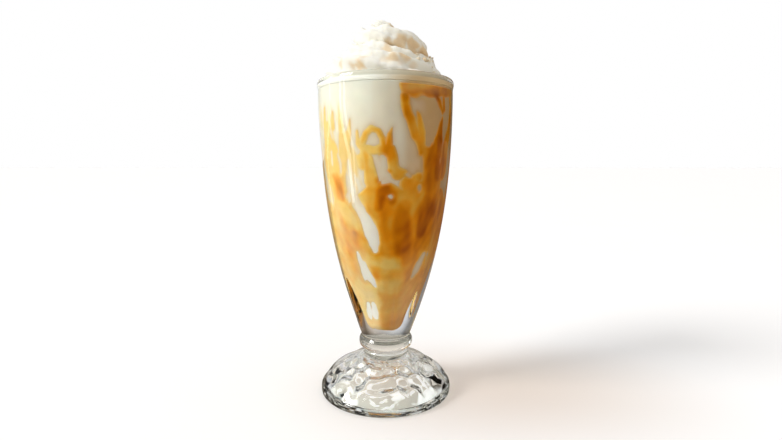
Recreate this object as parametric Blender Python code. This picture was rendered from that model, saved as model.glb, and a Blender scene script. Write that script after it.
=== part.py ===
"""Peanut butter milkshake in a footed soda fountain glass, filled to the rim and topped with whipped cream.

Metres, +Z up. The origin is the middle of the foot on the table. Angles round the glass are counted from
the front, -Y, towards +X.
"""

import math

import bmesh
import bpy
import numpy as np

MM = 0.001

# Glass, in millimetres
SEGMENTS = 60
GLASS_HEIGHT = 200.0
BOWL_RADIUS = 42.2
NECK_RADIUS = 16.0
NECK_HEIGHT = 38.0
BOWL_SHOULDER = 190.0
BOWL_CURVE = 2.33
BEAD_RADIUS = 42.6
RIM_INNER_RADIUS = 39.5
FOOT_RADIUS = 42.7
FOOT_DOME_HEIGHT = 24.0
FOOT_BAND = 5.2
RING_RADIUS = 14.8
KNOP_RADIUS = 17.45
HOLLOW_RADIUS = 34.5
HOLLOW_DEPTH = 14.4
CAVITY_FLOOR = 43.5

# Ten panels run down the bowl and the foot
PANELS = 10
PANEL_TURN = 13.4
FLUTE_DEPTH = 1.3
PETAL_DEPTH = 2.2

# Filling
GAP = 0.3
DRINK_LEVEL = 194.5
SAUCE_WALL = 1.8
SAUCE_LIP = 0.8
SAUCE_ROWS = 9

# Flames of the sauce's upper edge: angle in degrees, height, half width in degrees
SAUCE_EDGE = 138.0
SAUCE_FLAMES = (
    (-72, 181, 14),
    (-42, 170, 11),
    (-18, 169, 12),
    (5, 167, 9),
    (19, 187, 11),
    (60, 187, 14),
    (90, 166, 12),
    (118, 178, 13),
    (150, 160, 12),
    (182, 180, 13),
    (212, 156, 10),
    (246, 174, 12),
)

# Whipped cream: a piped rope that winds down from the tip in a widening coil round a core
CREAM_FLOOR = DRINK_LEVEL + GAP
CREAM_REACH = RIM_INNER_RADIUS - GAP
CREAM_EDGE = 199.4
CREAM_CROWN = 203.0
CREAM_EYE = 196.5
CREAM_RINGS = 26
CREAM_LEAN = (-7.6, 0.4)
TIP_HEIGHT = 237.0
ROPE_FLUTES = 6
ROPE_TWIST = 5.0
ROPE_FLUTE_DEPTH = 0.13
ROPE_SAMPLES = 340

# Angle of the coil in degrees, height of its middle, distance from the axis, rope radius
ROPE_STATIONS = (
    (-96, TIP_HEIGHT - 1.8, 7.4, 1.6),
    (-60, 234.0, 5.6, 2.8),
    (0, 231.4, 3.4, 3.8),
    (90, 228.6, 3.6, 4.6),
    (180, 227.0, 6.4, 5.6),
    (270, 225.2, 12.6, 6.6),
    (330, 222.8, 13.2, 7.6),
    (380, 220.4, 14.6, 8.2),
    (450, 216.4, 17.8, 8.6),
    (540, 214.8, 18.2, 8.8),
    (630, 213.6, 17.8, 8.8),
    (690, 211.0, 19.0, 8.6),
    (740, 207.4, 20.4, 8.8),
    (810, 203.4, 24.0, 9.0),
    (900, 203.0, 25.6, 9.4),
    (990, 203.8, 26.4, 9.6),
    (1080, 202.8, 26.4, 9.4),
    (1190, 200.6, 25.4, 8.6),
)

# Height, distance to the left of the axis and radius of the core inside the coil
CORE_STATIONS = (
    (200.0, 0.0, 24.0),
    (209.0, 0.0, 17.0),
    (217.0, 1.0, 11.5),
    (224.0, 3.0, 7.0),
    (230.0, 4.5, 3.4),
)


def new_material(name, colour, roughness, clear=0.0):
    """A plain Principled material."""
    material = bpy.data.materials.new(name)
    material.use_nodes = True
    shader = material.node_tree.nodes["Principled BSDF"]
    shader.inputs["Base Color"].default_value = (*colour, 1.0)
    shader.inputs["Roughness"].default_value = roughness
    shader.inputs["Metallic"].default_value = 0.0
    shader.inputs["Transmission Weight"].default_value = clear
    material.diffuse_color = (*colour, 1.0)
    return material


def add_body(name, rings, first_pole, last_pole, material):
    """Closed body of rings of points, each SEGMENTS long, shut by a pole at both ends.

    The rings run from the bottom pole up the outer side. Each quad is split along its shorter diagonal.
    """
    count = len(rings)
    points = np.vstack([*rings, [first_pole], [last_pole]]) * MM
    around = np.arange(SEGMENTS)
    after = (around + 1) % SEGMENTS
    faces = []
    for ring in range(count - 1):
        low = ring * SEGMENTS
        high = low + SEGMENTS
        rising = np.linalg.norm(points[low + around] - points[high + after], axis=1)
        falling = np.linalg.norm(points[low + after] - points[high + around], axis=1)
        for near, far, keep in zip(around.tolist(), after.tolist(), (rising <= falling + 1e-7).tolist()):
            if keep:
                faces.append([low + near, low + far, high + far])
                faces.append([low + near, high + far, high + near])
            else:
                faces.append([low + near, low + far, high + near])
                faces.append([low + far, high + far, high + near])
    first = count * SEGMENTS
    last = first + 1
    top = (count - 1) * SEGMENTS
    for near, far in zip(around.tolist(), after.tolist()):
        faces.append([first, far, near])
        faces.append([last, top + near, top + far])
    mesh = bpy.data.meshes.new(name)
    mesh.from_pydata(points.tolist(), [], faces)
    work = bmesh.new()
    work.from_mesh(mesh)
    bmesh.ops.recalc_face_normals(work, faces=work.faces)
    if work.calc_volume(signed=True) < 0:
        bmesh.ops.reverse_faces(work, faces=work.faces)
    work.to_mesh(mesh)
    work.free()
    mesh.polygons.foreach_set("use_smooth", [True] * len(mesh.polygons))
    mesh.materials.append(material)
    body = bpy.data.objects.new(name, mesh)
    bpy.context.scene.collection.objects.link(body)
    return body


def ring_angles():
    """Angle of every column of points, in radians from the front."""
    return np.arange(SEGMENTS) * 2 * math.pi / SEGMENTS + math.radians(PANEL_TURN)


def place(radius, height):
    """Points at the ring angles, at one radius and height or at one for each column."""
    angle = ring_angles()
    radius = np.broadcast_to(radius, angle.shape)
    height = np.broadcast_to(height, angle.shape)
    return np.stack([radius * np.sin(angle), -radius * np.cos(angle), height], axis=1)


def bowl_radius(height):
    """Outer radius of the bowl: a power curve that opens from the neck to the shoulder."""
    share = min(max((height - NECK_HEIGHT) / (BOWL_SHOULDER - NECK_HEIGHT), 0.0), 1.0)
    return BOWL_RADIUS - (BOWL_RADIUS - NECK_RADIUS) * (1 - share) ** BOWL_CURVE


def fade(value, low, high):
    """0 below low, 1 above high, with a smooth step between."""
    share = min(max((value - low) / (high - low), 0.0), 1.0)
    return share * share * (3 - 2 * share)


def bowl_ring(height):
    """One ring of the bowl, with hollow flutes between ten ridges, faded out below the rim."""
    phase = PANELS * (ring_angles() - math.radians(PANEL_TURN)) / 2
    depth = FLUTE_DEPTH * fade(height, NECK_HEIGHT, 60.0) * (1 - fade(height, 150.0, 186.0))
    return place(bowl_radius(height) - depth * np.abs(np.sin(phase)), height)


def foot_ring(height):
    """One ring of the foot's dome: rounded petals with grooves between, on a quarter ellipse."""
    phase = PANELS * (ring_angles() - math.radians(PANEL_TURN)) / 2
    radius = FOOT_RADIUS * math.sqrt(1 - (height / FOOT_DOME_HEIGHT) ** 2)
    depth = PETAL_DEPTH * fade(height, 5.0, 11.0) * (1 - fade(height, 17.5, 22.0))
    return place(radius - depth * (1 - np.abs(np.sin(phase))), height)


def cavity_profile():
    """Radius and height of the inner wall, from the middle of its floor up to the rim."""
    stations = (
        (0.0, CAVITY_FLOOR),
        (3.6, 44.0),
        (5.6, 45.4),
        (7.1, 48.0),
        (8.8, 53.0),
    )
    walls = ((62.0, 12.4), (74.0, 10.9), (88.0, 8.6), (106.0, 6.2), (130.0, 4.5), (160.0, 3.3), (190.0, 2.7))
    upper = [(bowl_radius(height) - wall, height) for height, wall in walls]
    return [*stations, *upper, (RIM_INNER_RADIUS, 197.6)]


def inset(profile, distance):
    """The profile moved into the cavity by a distance, square to its own slope."""
    line = np.array(profile)
    slope = np.gradient(line, axis=0)
    slope[0] = (1.0, 0.0)
    slope /= np.linalg.norm(slope, axis=1)[:, None]
    moved = line + distance * np.stack([-slope[:, 1], slope[:, 0]], axis=1)
    moved[0, 0] = 0.0
    return moved


def radius_at(profile, height):
    """Radius of a profile at a height, with straight lines between its points."""
    return np.interp(height, profile[:, 1], profile[:, 0])


def sauce_edge():
    """Height of the sauce's upper edge at every column, from pointed flames on an even level."""
    angle = np.degrees(ring_angles())
    edge = np.full(SEGMENTS, SAUCE_EDGE)
    for middle, height, width in SAUCE_FLAMES:
        away = np.abs((angle - middle + 180.0) % 360.0 - 180.0) / width
        flame = SAUCE_EDGE + (height - SAUCE_EDGE) * np.clip(1.35 - away, 0.0, 1.0)
        edge = np.maximum(edge, flame)
    return edge


def edge_stretch(edge):
    """How much longer the edge is than level ground at every column, by its steeper side."""
    run = BOWL_RADIUS * 0.94 * 2 * math.pi / SEGMENTS
    climb = np.maximum(np.abs(edge - np.roll(edge, 1)), np.abs(edge - np.roll(edge, -1)))
    return np.hypot(1.0, climb / run)


def wall_rows(profile, top):
    """Rings up a profile from near its pole to a top height for every column, closer together low down."""
    low = profile[0, 1]
    rows = []
    for row in range(1, SAUCE_ROWS + 1):
        height = low + (top - low) * (row / SAUCE_ROWS) ** 1.7
        rows.append(place(radius_at(profile, height), height))
    return rows


def build_glass(material):
    """Pressed glass in one piece: panelled foot with a hollow, ring, knop, bowl and beaded rim."""
    rings = []
    hollow = ((0.20, 0.985), (0.45, 0.90), (0.70, 0.69), (0.88, 0.38), (0.965, 0.09))
    for share, rise in hollow:
        rings.append(place(HOLLOW_RADIUS * share, HOLLOW_DEPTH * rise))
    rings.append(place(HOLLOW_RADIUS, 0.0))
    rings.append(place(FOOT_RADIUS - 1.2, 0.0))
    rings.append(place(FOOT_RADIUS, 1.3))
    rings.append(place(FOOT_RADIUS, FOOT_BAND - 0.9))
    for height in (FOOT_BAND, 7.6, 10.6, 13.8, 17.0, 19.6, 21.4, 22.3):
        rings.append(foot_ring(height))
    for radius, height in ((14.3, 23.4), (RING_RADIUS, 24.9), (RING_RADIUS, 26.8), (14.3, 28.2)):
        rings.append(place(radius, height))
    for radius, height in ((15.0, 29.2), (16.7, 30.4), (KNOP_RADIUS, 32.1), (KNOP_RADIUS, 34.4), (16.7, 36.1)):
        rings.append(place(radius, height))
    for height in (37.6, 44.0, 53.0, 64.0, 78.0, 96.0, 118.0, 144.0, 170.0, 188.0):
        rings.append(bowl_ring(height))
    rings.append(place(BOWL_RADIUS - 0.1, 194.6))
    rings.append(place(BEAD_RADIUS, 196.0))
    rings.append(place(BEAD_RADIUS, 198.4))
    rings.append(place(BEAD_RADIUS - 0.6, 199.7))
    rings.append(place(BEAD_RADIUS - 1.5, GLASS_HEIGHT))
    rings.append(place(BEAD_RADIUS - 2.5, 199.5))
    for radius, height in reversed(cavity_profile()[1:]):
        rings.append(place(radius, height))
    bottom = (0.0, 0.0, HOLLOW_DEPTH)
    floor = (0.0, 0.0, CAVITY_FLOOR)
    return add_body("glass", rings, bottom, floor, material)


def build_sauce(edge, material):
    """Peanut butter sauce that coats the wall: a cup with a flamed upper edge."""
    outer = inset(cavity_profile(), GAP)
    inner = inset(cavity_profile(), GAP + SAUCE_WALL)
    rings = wall_rows(outer, edge - SAUCE_LIP)
    rings.append(place(radius_at(outer, edge) - 0.55 * SAUCE_WALL, edge))
    rings.extend(reversed(wall_rows(inner, edge - SAUCE_LIP)))
    bottom = (0.0, 0.0, outer[0, 1])
    floor = (0.0, 0.0, inner[0, 1])
    return add_body("peanut_butter_sauce", rings, bottom, floor, material)


def build_milkshake(edge, material):
    """Milkshake up to its level, inside the sauce and against the wall above it."""
    inner = inset(cavity_profile(), 2 * GAP + SAUCE_WALL)
    outer = inset(cavity_profile(), GAP)
    shelf = edge + GAP * edge_stretch(edge)
    rings = wall_rows(inner, shelf)
    for share in (0.0, 0.5, 1.0):
        height = shelf + 0.15 + (DRINK_LEVEL - 0.6 - shelf - 0.15) * share
        rings.append(place(radius_at(outer, height), height))
    rings.append(place(radius_at(outer, DRINK_LEVEL) - 0.6, DRINK_LEVEL))
    bottom = (0.0, 0.0, inner[0, 1])
    top = (0.0, 0.0, DRINK_LEVEL)
    return add_body("milkshake", rings, bottom, top, material)


def rope_path():
    """Middle, radius, cross direction and turn of the piped rope at samples from the tip to its lower end."""
    stations = np.array(ROPE_STATIONS)
    degrees = np.linspace(stations[0, 0], stations[-1, 0], ROPE_SAMPLES)
    height, reach, size = (np.interp(degrees, stations[:, 0], stations[:, column]) for column in (1, 2, 3))
    turn = np.radians(degrees)
    size = size * (1 + 0.05 * np.sin(3.1 * turn + 0.6) + 0.035 * np.sin(7.3 * turn))
    middle = np.stack([reach * np.sin(turn), -reach * np.cos(turn), height], axis=1)
    outward = np.stack([np.sin(turn), -np.cos(turn), np.zeros_like(turn)], axis=1)
    return middle, size, outward, turn


def cream_depth(points, rope):
    """How far points lie outside the cream, negative inside: fluted rope, core and flat bed together."""
    middle, size, outward, turn = rope
    away = points[:, None, :] - middle[None, :, :]
    distance = np.linalg.norm(away, axis=2)
    sideways = np.sum(away * outward[None], axis=2)
    around = np.arctan2(away[:, :, 2], sideways) * ROPE_FLUTES + ROPE_TWIST * turn[None]
    coil = (distance - size[None] * (1 + ROPE_FLUTE_DEPTH * np.cos(around))).min(axis=1)
    core = np.full(len(points), 99.0)
    for height, left, radius in CORE_STATIONS:
        core = np.minimum(core, np.linalg.norm(points - (-left, 0.0, height), axis=1) - radius)
    reach = np.hypot(points[:, 0], points[:, 1])
    crown = CREAM_EDGE + (CREAM_CROWN - CREAM_EDGE) * np.clip(1 - (reach / CREAM_REACH) ** 4, 0.0, 1.0)
    bed = np.maximum(points[:, 2] - crown, reach - CREAM_REACH)
    return np.minimum(np.minimum(coil, core), bed)


def along_rays(rays, far):
    """Points at distances along rays from the eye, in a space that leans towards the tip."""
    points = np.array([0.0, 0.0, CREAM_EYE]) + rays * far[:, None]
    lean = np.clip((points[:, 2] - CREAM_EYE) / (TIP_HEIGHT - CREAM_EYE), 0.0, 1.2) ** 2
    points[:, 0] += CREAM_LEAN[0] * lean
    points[:, 1] += CREAM_LEAN[1] * lean
    return points


def cream_surface(climbs, rope):
    """Distances of the surface along the rays of every ring, found from far away inwards, then evened out."""
    angle = ring_angles()
    level = np.column_stack([np.sin(angle), -np.cos(angle), np.zeros(SEGMENTS)])
    rays = [level * math.cos(climb) + np.array([0.0, 0.0, math.sin(climb)]) for climb in climbs]
    rays = np.vstack(rays)
    far = np.full(len(rays), 50.0)
    for _ in range(70):
        far = far - 0.6 * cream_depth(along_rays(rays, far), rope)
    grid = far.reshape(len(climbs), SEGMENTS)
    evened = (np.roll(grid, 1, axis=1) + 2 * grid + np.roll(grid, -1, axis=1)) / 4
    grid = np.vstack([grid[:1], (evened[:-2] + 4 * evened[1:-1] + evened[2:]) / 6, evened[-1:]])
    points = along_rays(rays, grid.ravel())
    return points.reshape(len(climbs), SEGMENTS, 3)


def build_cream(material):
    """Whipped cream: a bed that fills the rim and the piped coil on it, as one solid."""
    rope = rope_path()
    lowest = math.atan2(CREAM_EDGE - 0.1 - CREAM_EYE, CREAM_REACH)
    share = (np.arange(CREAM_RINGS) / (CREAM_RINGS - 1)) ** 0.92
    climbs = lowest + (math.radians(88.5) - lowest) * share
    surface = cream_surface(climbs, rope)
    rings = [place(CREAM_REACH - 0.5, CREAM_FLOOR), place(CREAM_REACH, CREAM_FLOOR + 0.5), *surface]
    bottom = (0.0, 0.0, CREAM_FLOOR)
    top = surface[-1].mean(axis=0) + (0.0, 0.0, 0.1)
    return add_body("whipped_cream", rings, bottom, tuple(top), material)


def main():
    """Clears the scene and builds the four pieces."""
    for item in list(bpy.data.objects):
        bpy.data.objects.remove(item, do_unlink=True)
    edge = sauce_edge()
    build_glass(new_material("clear_glass", (0.90, 0.95, 0.94), 0.03, 1.0))
    build_sauce(edge, new_material("peanut_butter_sauce", (0.62, 0.27, 0.035), 0.35))
    build_milkshake(edge, new_material("milkshake", (0.88, 0.80, 0.66), 0.45))
    build_cream(new_material("whipped_cream", (0.95, 0.91, 0.82), 0.55))


main()
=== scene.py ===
"""Peanut butter milkshake: the finish of a footed soda glass, its drink, sauce and whipped cream.

Laid out as an add-on. Each operator builds one piece from its settings, and the panel in the 3D view's
sidebar runs them. Lengths in the tables are millimetres, angles are degrees from the front towards +X.
"""

import math

import bpy
import numpy as np
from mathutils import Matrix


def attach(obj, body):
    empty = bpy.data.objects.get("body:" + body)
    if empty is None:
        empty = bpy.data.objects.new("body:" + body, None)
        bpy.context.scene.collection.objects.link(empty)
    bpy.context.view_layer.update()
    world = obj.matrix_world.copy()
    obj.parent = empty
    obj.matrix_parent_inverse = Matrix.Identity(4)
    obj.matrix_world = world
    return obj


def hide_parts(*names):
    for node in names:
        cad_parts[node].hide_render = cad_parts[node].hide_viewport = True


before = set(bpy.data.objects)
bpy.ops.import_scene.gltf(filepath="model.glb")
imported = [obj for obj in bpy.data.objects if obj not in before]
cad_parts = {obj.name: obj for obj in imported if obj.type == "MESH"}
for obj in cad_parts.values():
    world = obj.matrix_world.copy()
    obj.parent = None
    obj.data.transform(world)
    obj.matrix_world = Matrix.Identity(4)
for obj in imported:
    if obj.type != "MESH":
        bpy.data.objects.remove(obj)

bl_info = {
    "name": "Soda Glass Milkshake",
    "version": (1, 0, 0),
    "blender": (4, 5, 0),
    "location": "3D View > Sidebar > Milkshake",
    "description": "Builds a milkshake in a footed soda glass with sauce and whipped cream",
    "category": "Add Mesh",
}

MM = 0.001
BODY = "root"

# Outer form of the glass
BOWL_RADIUS = 42.2
NECK_RADIUS = 16.0
NECK_HEIGHT = 38.0
BOWL_SHOULDER = 190.0
BOWL_CURVE = 2.33
FOOT_RADIUS = 42.7
FOOT_DOME_HEIGHT = 24.0
HOLLOW_RADIUS = 34.5
HOLLOW_DEPTH = 14.4
HOLLOW_CURVE = 2.6
PANELS = 10
PANEL_TURN = 13.4

# Radius and height up the foot's edge, up the neck with its ring and knop, and over the rim
EDGE_PROFILE = (
    (FOOT_RADIUS - 1.2, 0.02),
    (FOOT_RADIUS - 0.25, 0.5),
    (FOOT_RADIUS, 1.6),
    (FOOT_RADIUS, 3.9),
    (FOOT_RADIUS - 0.35, 4.9),
)
NECK_PROFILE = (
    (15.4, 22.6), (14.2, 23.4), (14.5, 24.4), (14.85, 25.6), (14.7, 26.8), (14.1, 27.8), (14.3, 28.6),
    (15.6, 29.4), (16.9, 30.4), (17.45, 32), (17.5, 33.4), (17.3, 34.9), (16.5, 36.3), (15.95, 37.4),
)
RIM_PROFILE = (
    (42.1, 193.6), (42.25, 194.9), (42.6, 196.2), (42.65, 197.6), (42.3, 199), (41.5, 199.8),
    (40.7, 200), (40, 199.6), (39.6, 198.7), (39.5, 197.6),
)

# Radius and height of the inner wall's lowest points, from the middle of its floor
CAVITY_FLOOR = ((0, 43.5), (3.6, 44), (5.6, 45.4), (7.1, 48), (8.8, 53))

# Height and thickness of the wall above those points
CAVITY_WALLS = (
    (62, 12.4), (74, 10.9), (88, 8.6), (106, 6.2), (130, 4.5), (160, 3.3), (190, 2.7),
)

# Radius and height where the inner wall ends
RIM_INNER = (39.5, 197.6)

# Heights of the drink, of the sauce and of the cream's bed
DRINK_LEVEL = 194.5
DRINK_OVERLAP = 0.2
SAUCE_TOP = DRINK_LEVEL - 0.8
BED_BOTTOM = DRINK_LEVEL + 0.15

# Sauce on the wall: name, then points of angle, height and half width
SAUCE_STROKES = (
    ("arch_top", ((17.5, 191, 3.7), (23, 190, 4.5), (34, 191, 4.6), (47, 191, 4.7), (70, 194, 4.9))),
    ("arch_left", (
        (17, 186, 3), (17, 181, 2.8), (18.5, 176, 2.8), (21.5, 172, 3.1), (24.5, 167, 3.5),
        (28, 162, 3.6), (32, 157, 3.6),
    )),
    ("arch_streak", ((28, 177, 1.4), (30, 172, 2.6), (32, 166, 2.9), (35, 160, 3.4), (39, 155, 4))),
    ("arch_right", ((46, 188, 1.8), (51, 184, 1.8), (56, 179, 1.5))),
    ("right_line", ((57, 195, 1.2), (57, 187, 1.5), (58, 180, 1.8))),
    ("right_wedge", ((56, 176, 1.2), (54, 171, 2.4), (53, 167, 3.6), (52, 162, 5.3), (51, 156, 5.9))),
    ("right_edge", ((70, 194, 1.6), (71, 181, 2.2), (70, 169, 3.4), (66, 157, 5), (64, 145, 6.5))),
    ("right_mass", ((38, 159, 4), (44, 153, 6.4), (48, 145, 7.6), (48, 137, 8.8), (47, 125, 10))),
    ("flame", ((6, 168, 0.3), (4, 165, 1.4), (3, 160, 2.2), (3, 157, 3.9), (5, 152, 4.5), (9, 147, 4.5))),
    ("small_arch_left", ((-20, 157, 1.7), (-18, 162, 2), (-15, 166, 2), (-10, 168, 1.7))),
    ("small_arch_right", ((-10, 168, 1.7), (-5, 167, 1.7), (-2, 163, 1.7), (-1, 159, 2.2), (-1, 155, 3.4))),
    ("golden_leg", ((-19, 158, 2.3), (-15, 151, 3.4), (-13, 144, 3.9), (-12, 139, 4.5))),
    ("cross", ((0, 155, 3.4), (7, 150, 3.9), (12, 144, 3.9), (16, 147, 2.3))),
    ("mottle", ((15, 145, 2.3), (24, 142, 2.3), (33, 141, 2.9))),
    ("left_long", (
        (-60, 182, 1.2), (-61, 172, 2.1), (-60, 162, 2.4), (-61, 151, 2.4), (-58, 141, 3.6),
        (-52, 134, 5.4), (-47, 125, 7.1),
    )),
    ("left_short", ((-47, 178, 0.9), (-48, 173, 1.8), (-48, 170, 1.5))),
    ("left_curve", (
        (-29, 174, 0.5), (-30, 168, 1.4), (-33, 160, 2.9), (-36, 151, 2.9), (-39, 143, 3.5),
        (-43, 134, 4.7),
    )),
    ("left_thin", ((-40, 166, 0.9), (-40, 160, 1.7), (-40, 151, 2.3))),
    ("left_inner", ((-23, 167, 0.8), (-22, 161, 1.4), (-21, 154, 2), (-20, 147, 2.3))),
    ("left_field", ((-57, 172, 2), (-53, 162, 4.5), (-50, 150, 5.5), (-46, 139, 6))),
    ("inner_field", ((-37, 169, 1.8), (-35, 160, 3.6), (-35, 150, 4.2), (-37, 141, 4.6))),
    ("small_arch_foot", ((-15, 157, 2.6), (-9, 156.2, 2.5), (-2, 157, 3))),
    ("body_left", (
        (-52, 125, 5.4), (-43, 116, 8.2), (-37, 104, 9.4), (-37, 90, 10.1), (-35, 76, 10.1),
        (-25, 62, 8.4), (-5, 48, 7.3),
    )),
    ("body_middle", (
        (-11, 135, 4.5), (-4, 128, 8.5), (7, 120, 11.3), (13, 108, 14.9), (15, 91, 13.9),
        (14, 73, 13), (9, 53, 9.6),
    )),
    ("body_right", ((22, 138, 5.7), (32, 128, 11.5), (37, 113, 11.7), (31, 98, 14), (26, 79, 11.8))),
)

# Gaps in the sauce where milkshake meets the wall
MILK_STROKES = (
    ("arch_hole", (
        (26, 182, 3.1), (33, 181, 4), (38, 177, 4), (41, 171, 3.5), (40, 165, 2.9), (39, 161, 2),
    )),
    ("arch_hole_side", ((47, 181, 1.2), (49, 178, 1.8), (47, 173, 1.8))),
    ("tongue", ((10, 170, 2.2), (14, 163, 3.9), (19, 157, 5.6), (21, 151, 5.7), (24, 147, 4))),
    ("small_arch_hole", ((-9.5, 163.5, 1.4), (-9, 161, 1.6))),
    ("patch_middle", ((-2, 152, 2.2), (-2, 147, 3.1), (-3, 143, 2))),
    ("leaf_upper", (
        (-33, 150, 1.2), (-32, 142, 2.8), (-31, 134, 3.2), (-28, 127, 2.4), (-24, 121, 2.2),
        (-19, 115, 3.2), (-15, 109, 4.2), (-12, 103, 3.6), (-11, 99, 2),
    )),
    ("leaf_lower", ((-34, 97, 0.6), (-33, 91, 1.8), (-29, 84, 2.7), (-24, 79, 2.4), (-19, 75, 1.2))),
    ("patch_low", ((-36, 62, 1.8), (-38, 57, 2.4), (-40, 53, 1.8))),
    ("patch_right", ((56, 94, 1.8), (53, 89, 3), (51, 84, 3), (49, 81, 1.8))),
    ("spot_wide", ((-1, 139, 1.2), (4, 140, 1.9))),
    ("spot_arch", ((5, 131, 1.1), (6, 130, 0.9))),
    ("spot_mottle", ((20, 143, 1.7), (21, 142, 1.4))),
    ("spot_right", ((33, 135, 1.2), (34, 134, 1))),
    ("left_patch", ((-51, 168, 1.5), (-47, 164, 2.3), (-45, 162, 1.8))),
    ("left_dot", ((-35, 168, 1.1), (-35, 167, 1))),
    ("left_streak", ((-45, 155, 0.7), (-43, 149, 1), (-43, 144, 0.7))),
    ("left_slot", ((-29, 153, 1.1), (-31, 149, 1.1))),
    ("left_blob", ((-27, 159, 2), (-24, 156, 2))),
    ("left_edge", ((-54, 156, 0.9), (-54, 149, 1.2))),
)

# Shades inside the sauce: how much darker, then points as above
SHADE_STROKES = (
    ("left_gold", -0.34, ((-60, 178, 5), (-53, 162, 8), (-49, 150, 7))),
    ("inner_gold", -0.30, ((-38, 170, 4), (-34, 159, 6), (-30, 148, 5), (-27, 140, 3))),
    ("leg_gold", -0.22, ((-14, 158, 1.8), (-10, 155.5, 2), (-9, 150, 2.2))),
    ("arch_band", 0.30, ((16, 186, 1.7), (23, 187, 1.7), (31, 187, 2), (39, 188, 2), (46, 187, 1.8))),
    ("right_core", 0.22, (
        (42, 160, 1.7), (44, 151, 2.3), (46, 141, 2.6), (47, 131, 2.9), (47, 121, 3.5), (43, 110, 3.5),
    )),
    ("body_edge", 0.16, ((-50, 118, 3), (-44, 110, 5), (-40, 98, 5), (-40, 86, 4))),
    ("centre_amber", 0.14, ((2, 126, 4), (12, 116, 7), (18, 104, 6))),
    ("low_gold_centre", -0.16, ((8, 84, 5), (9, 74, 4))),
    ("orange_left", 0.42, ((-51, 142, 1.8), (-47, 136, 2.4), (-46, 130, 2.4))),
    ("gold_high", -0.30, ((-50, 125, 2.4), (-43, 120, 4.1), (-37, 114, 3.5))),
    ("brown_slant", 0.15, (
        (-51, 114, 1.8), (-41, 108, 2.4), (-31, 104, 2.9), (-21, 100, 2.9), (-15, 95, 2.3),
    )),
    ("amber_middle", 0.15, ((-1, 114, 2.3), (3, 105, 4), (5, 98, 3.4))),
    ("gold_band", -0.25, ((-22, 93, 1.7), (-6, 91, 2.9), (11, 91, 2.9))),
    ("gold_low", -0.30, ((-48, 75, 2.4), (-35, 70, 4.2), (-27, 64, 3.6))),
    ("arch_line", 0.35, ((-7, 125, 1.4), (-3, 132, 1.7), (2, 135, 1.7), (7, 132, 1.4), (8, 128, 1.1))),
    ("thin_line", 0.45, ((-5, 140, 0.6), (0, 142, 0.6), (4, 144, 0.6))),
    ("right_middle", 0.20, ((19, 125, 2.3), (18, 114, 2.9), (20, 102, 2.9), (24, 93, 2.9))),
    ("right_side", 0.12, ((44, 125, 4.1), (46, 113, 4.1), (44, 101, 3.6))),
    ("flame_core", 0.18, ((4, 165, 1.4), (3, 160, 2), (4, 154, 2.4))),
    ("golden_leg", -0.20, ((-18, 157, 2), (-14, 148, 3), (-12, 140, 3.5))),
    ("right_rim", 0.24, ((56, 173, 1.4), (56, 164, 3), (57, 154, 3.6), (57, 144, 4))),
    ("low_right", 0.12, ((26, 82, 1.8), (29, 73, 2.4), (32, 61, 2.4))),
)

# Flames of sauce round the sides: angle, height of the tip, half width at the root
SIDE_FLAMES = (
    (-80, 176, 4.5), (-96, 160, 6), (88, 168, 5), (100, 158, 6), (112, 176, 4), (262, 172, 4.5),
)

# Piped rope of the cream: angle, height of its middle, distance from the axis, radius
ROPE_STATIONS = (
    (-96, 235.2, 7.4, 1.6),
    (-60, 234, 5.6, 2.8),
    (0, 231.4, 3.4, 3.8),
    (90, 228.6, 3.6, 4.6),
    (180, 227, 6.4, 5.6),
    (270, 225.2, 12.6, 6.6),
    (330, 222.8, 13.2, 7.6),
    (380, 220.4, 14.6, 8.2),
    (450, 216.4, 17.8, 8.6),
    (540, 214.8, 18.2, 8.8),
    (630, 213.6, 17.8, 8.8),
    (690, 211, 19, 8.6),
    (740, 207.4, 20.4, 8.8),
    (810, 203.4, 24, 9),
    (900, 203, 25.6, 9.4),
    (990, 203.8, 26.4, 9.6),
    (1080, 202.8, 26.4, 9.4),
    (1190, 200.6, 25.4, 8.6),
)
CORE_PROFILE = ((24, 198), (22, 206), (17, 213), (11, 220), (6.5, 226.5), (3, 231))
ROPE_FLOOR = 196.0
BED_COLUMNS = 240
BED_INTO_WALL = 0.12
CORE_COLUMNS = 96

# Crumbs: start of their drop in metres, most tries, corners round each and its rings in degrees
CRUMB_START = 0.26
CRUMB_TRIES = 400
CRUMB_CORNERS = 10
CRUMB_RINGS = (-60, -30, 0, 30, 60)

# Sauce smeared into the cream, and painted shade on its right side, away from the key light: x, y, z, reach
# and strength
CREAM_SMEAR_AND_SHADE_SPOTS = (
    (-23.5, -22, 207, 4, 0.5),
    (-13, -31, 205, 4, 0.9),
    (-17, -29, 204.5, 3, 0.7),
    (-9, -31, 207, 2.5, 0.6),
    (4, -6, 231.8, 2.6, 0.9),
    (-8, -1, 236, 1.5, 0.8),
    (2, -26, 214, 3, 0.65),
    (3, -28, 210.5, 2.8, 0.6),
    (2, -22.5, 218.5, 3.2, 0.65),
    (1, -34, 206.5, 3.5, 0.3),
    (5, -33, 208, 3.4, 0.7),
    (11, -31, 209.5, 3.8, 0.75),
    (9, -33.5, 206, 2.5, 0.35),
    (9, -21, 219, 5, 0.74),
    (17, -17, 218, 5.5, 0.78),
    (24, -9, 216.5, 5.8, 0.8),
    (26.4, 0, 214, 5.5, 0.7),
    (6, -21, 212, 3.5, 0.5),
    (2, -27, 208, 3, 0.5),
    (16, -30, 203, 3, 0.4),
    (-6, 26, 208, 5, 0.7),
    (22, 18, 210, 4, 0.7),
    (-24, 12, 209, 4, 0.7),
)

# Window panes that light no matt surface: name, bearing from the front, width in metres, share of power
WINDOW_PANES = (
    ("pane_left", -100.0, 0.03, 0.4),
    ("pane_middle", -75.0, 0.03, 1.0),
    ("pane_right", -67.0, 0.025, 0.7),
)
PANE_LENGTH = 0.48
PANE_DISTANCE = 0.42
PANE_HEIGHT = 0.26

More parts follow.
